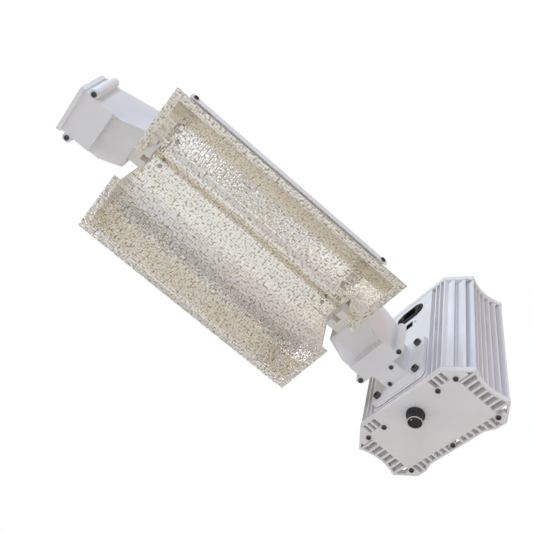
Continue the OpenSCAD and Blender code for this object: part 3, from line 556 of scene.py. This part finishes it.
def end_wall(path, seed):
    """Leaning end wall at the ballast side, notched for the lamp and its holder."""
    reach = MOUTH_HALF - 0.2
    side = steps(NOTCH_HALF, reach)
    y = np.concatenate([-side[:0:-1], steps(-NOTCH_HALF, NOTCH_HALF), side[1:]])
    line = path[1][np.abs(path[1][:, 0]) < MOUTH_HALF + 0.5][::-1]
    top = np.interp(y, line[:, 0], line[:, 1])
    split = np.minimum(NOTCH_H, 0.75 * top)
    lower, upper = steps(0, 1, GRID / NOTCH_H), steps(0, 1, GRID / 24)
    z = np.concatenate(
        [split[:, None] * lower, split[:, None] + (top - split)[:, None] * upper[1:]], axis=1
    )
    y = np.repeat(y[:, None], z.shape[1], axis=1)
    front = np.stack([end_x(z), y, z], -1)
    normal = np.array([-1.0, 0.0, -END_LEAN]) / math.hypot(1.0, END_LEAN)
    cells = np.ones((z.shape[0] - 1, z.shape[1] - 1), bool)
    middle = np.abs((y[1:, 0] + y[:-1, 0]) / 2) < NOTCH_HALF
    cells[middle, : len(lower) - 1] = False
    normal = np.broadcast_to(normal, front.shape)
    return slab(front, normal, pebbles(y, z, seed), 0.5 * PEBBLE_RISE, cells)


def end_lip(seed):
    """Flat lip at the mouth along the ballast side's end wall, open at the notch."""
    sides = []
    for side in (-1, 1):
        x, y = np.meshgrid(steps(WALL_X, RIM_L / 2), side * steps(NOTCH_HALF, RIM_W / 2), indexing="ij")
        if side < 0:
            x, y = x[:, ::-1], y[:, ::-1]
        front = np.stack([x, y, np.zeros_like(x)], -1)
        down = np.broadcast_to(np.array([0.0, 0.0, -1.0]), front.shape)
        points, faces, marks = slab(front, down, pebbles(x, y, seed + side))
        sides.append((points, faces[:, ::-1], marks))
    return sides


def end_tabs(path):
    """Tabs of the end wall folded back over the outside of the trough."""
    y, z = np.abs(path[1][:, 0]), path[1][:, 1]
    roof = (y > 27.8) & (y < 39.8) & (z > 60)
    bow = (y > 57.9) & (y < 69.9) & (z > 60)
    low = (z > 3.5) & (z < 14.5)
    tabs = []
    for stretch in (roof, bow, low):
        for side in (-1, 1):
            keep = stretch & (np.sign(path[1][:, 0]) == side)
            tabs.append(slab(*trough_band(path, keep, lambda x: x - 24, lambda x: x + 0.5, 1.05)))
    return tabs


def make_ends(path):
    for name, mirrored, seed in (("free", True, 21), ("ballast", False, 31)):
        sheets = [end_wall(path, seed), *end_lip(seed + 5), *end_tabs(path)]
        if mirrored:
            sheets = [flipped(sheet) for sheet in sheets]
        end = joined_mesh("end_hammered_" + name, sheets, "hammered_aluminium")
        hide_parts("reflector_end_" + name)


# ---------- dimmer ----------

def turned(outline, count, radius_at=None):
    """Points and quads of an outline of (radius, height) turned about the knob's axis."""
    points, faces = [], []
    for k, (radius, height) in enumerate(outline):
        for i in range(count):
            angle = 2 * math.pi * i / count
            r = radius * (radius_at(angle, height) if radius_at else 1.0)
            points.append((r * math.cos(angle), -r * math.sin(angle), -height))
            if k:
                a, b = (k - 1) * count + i, (k - 1) * count + (i + 1) % count
                faces.append((a, b, b + count, a + count))
    last = (len(outline) - 1) * count
    faces.append(tuple(range(count - 1, -1, -1)))
    faces.append(tuple(last + i for i in range(count)))
    return points, faces


def knob_piece(name, points, faces, slot, material=None, smooth=40, body="dimmer"):
    mesh = bpy.data.meshes.new(name)
    mesh.from_pydata([(Vector(p) + KNOB_AT + RIM_TO_ROW) * MM for p in points], [], faces)
    mesh.shade_smooth()
    mesh.set_sharp_from_angle(angle=math.radians(smooth))
    return add_piece(name, mesh, slot, material, body)


def make_knob():
    grip = KNOB_D / 2 - 2.2
    skirt = KNOB_D / 2
    top = KNOB_H

    def flutes(angle, height):
        depth = 0.035 if 6.6 < height < top - 2.0 else 0.0
        return 1 - depth * (0.5 + 0.5 * math.cos(24 * angle)) ** 2

    outline = [
        (0.6, 4.6), (7.4, 4.6), (7.5, 4.5), (7.5, KNOB_GAP), (skirt - 0.5, KNOB_GAP),
        (skirt - 0.1, KNOB_GAP + 0.15), (skirt, KNOB_GAP + 0.6), (skirt - 0.1, 4.6),
        (skirt - 0.5, 5.3), (skirt - 1.2, 5.5), (grip + 0.5, 5.6), (grip + 0.15, 6.0),
        (grip, 6.7), (grip, 7.4), (grip - 0.05, 10.0), (grip - 0.1, top - 2.6),
        (grip - 0.1, top - 2.0), (grip - 0.15, top - 1.35), (grip - 0.3, top - 1.25),
        (grip - 0.85, top - 1.25), (grip - 0.85, top - 0.2), (grip - 1.0, top),
        (grip - 1.6, top), (grip - 2.6, top - 0.25), (4.0, top - 0.5), (0.3, top - 0.55),
    ]
    knob = knob_piece("knob_fluted", *turned(outline, 192, flutes), "knob_plastic")
    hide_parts("dimmer_knob")
    dot = [(0.05, top - 0.7), (0.75, top - 0.7), (0.75, top - 0.22), (0.6, top - 0.14), (0.05, top - 0.14)]
    points, faces = turned(dot, 24)
    knob_piece("knob_dot", [Vector(p) + DOT_AT for p in points], faces, "knob_plastic", "white_mark")


def make_dial():
    """Ticks printed round the knob on the ballast's lower cap."""
    points, faces = [], []
    for k in range(DIAL_STEPS + 1):
        angle = math.radians(DIAL_SWEEP * (k / DIAL_STEPS - 0.5))
        length = TICK_LONG if k % 5 == 0 else TICK_SHORT
        along = Vector((math.sin(angle), math.cos(angle), 0.0))
        across = Vector((along.y, -along.x, 0.0)) * TICK_HALF_W
        near, far = along * TICK_START, along * (TICK_START + length)
        base = len(points)
        for height in (TICK_TOP, TICK_BOTTOM):
            for corner in (near - across, near + across, far + across, far - across):
                points.append(corner + Vector((0.0, 0.0, height)))
        faces.append((base, base + 1, base + 2, base + 3))
        faces.append((base + 7, base + 6, base + 5, base + 4))
        for i in range(4):
            j = (i + 1) % 4
            faces.append((base + j, base + i, base + 4 + i, base + 4 + j))
    knob_piece("dial_ticks", points, faces, "black_plastic", "grey_print", smooth=30, body="root")


add_camera()
add_world()
add_lights()
add_floor()
MATERIALS = make_materials()
dress_frame()

outline_path = trough_path()
make_trough(outline_path)
make_ends(outline_path)
make_knob()
make_dial()
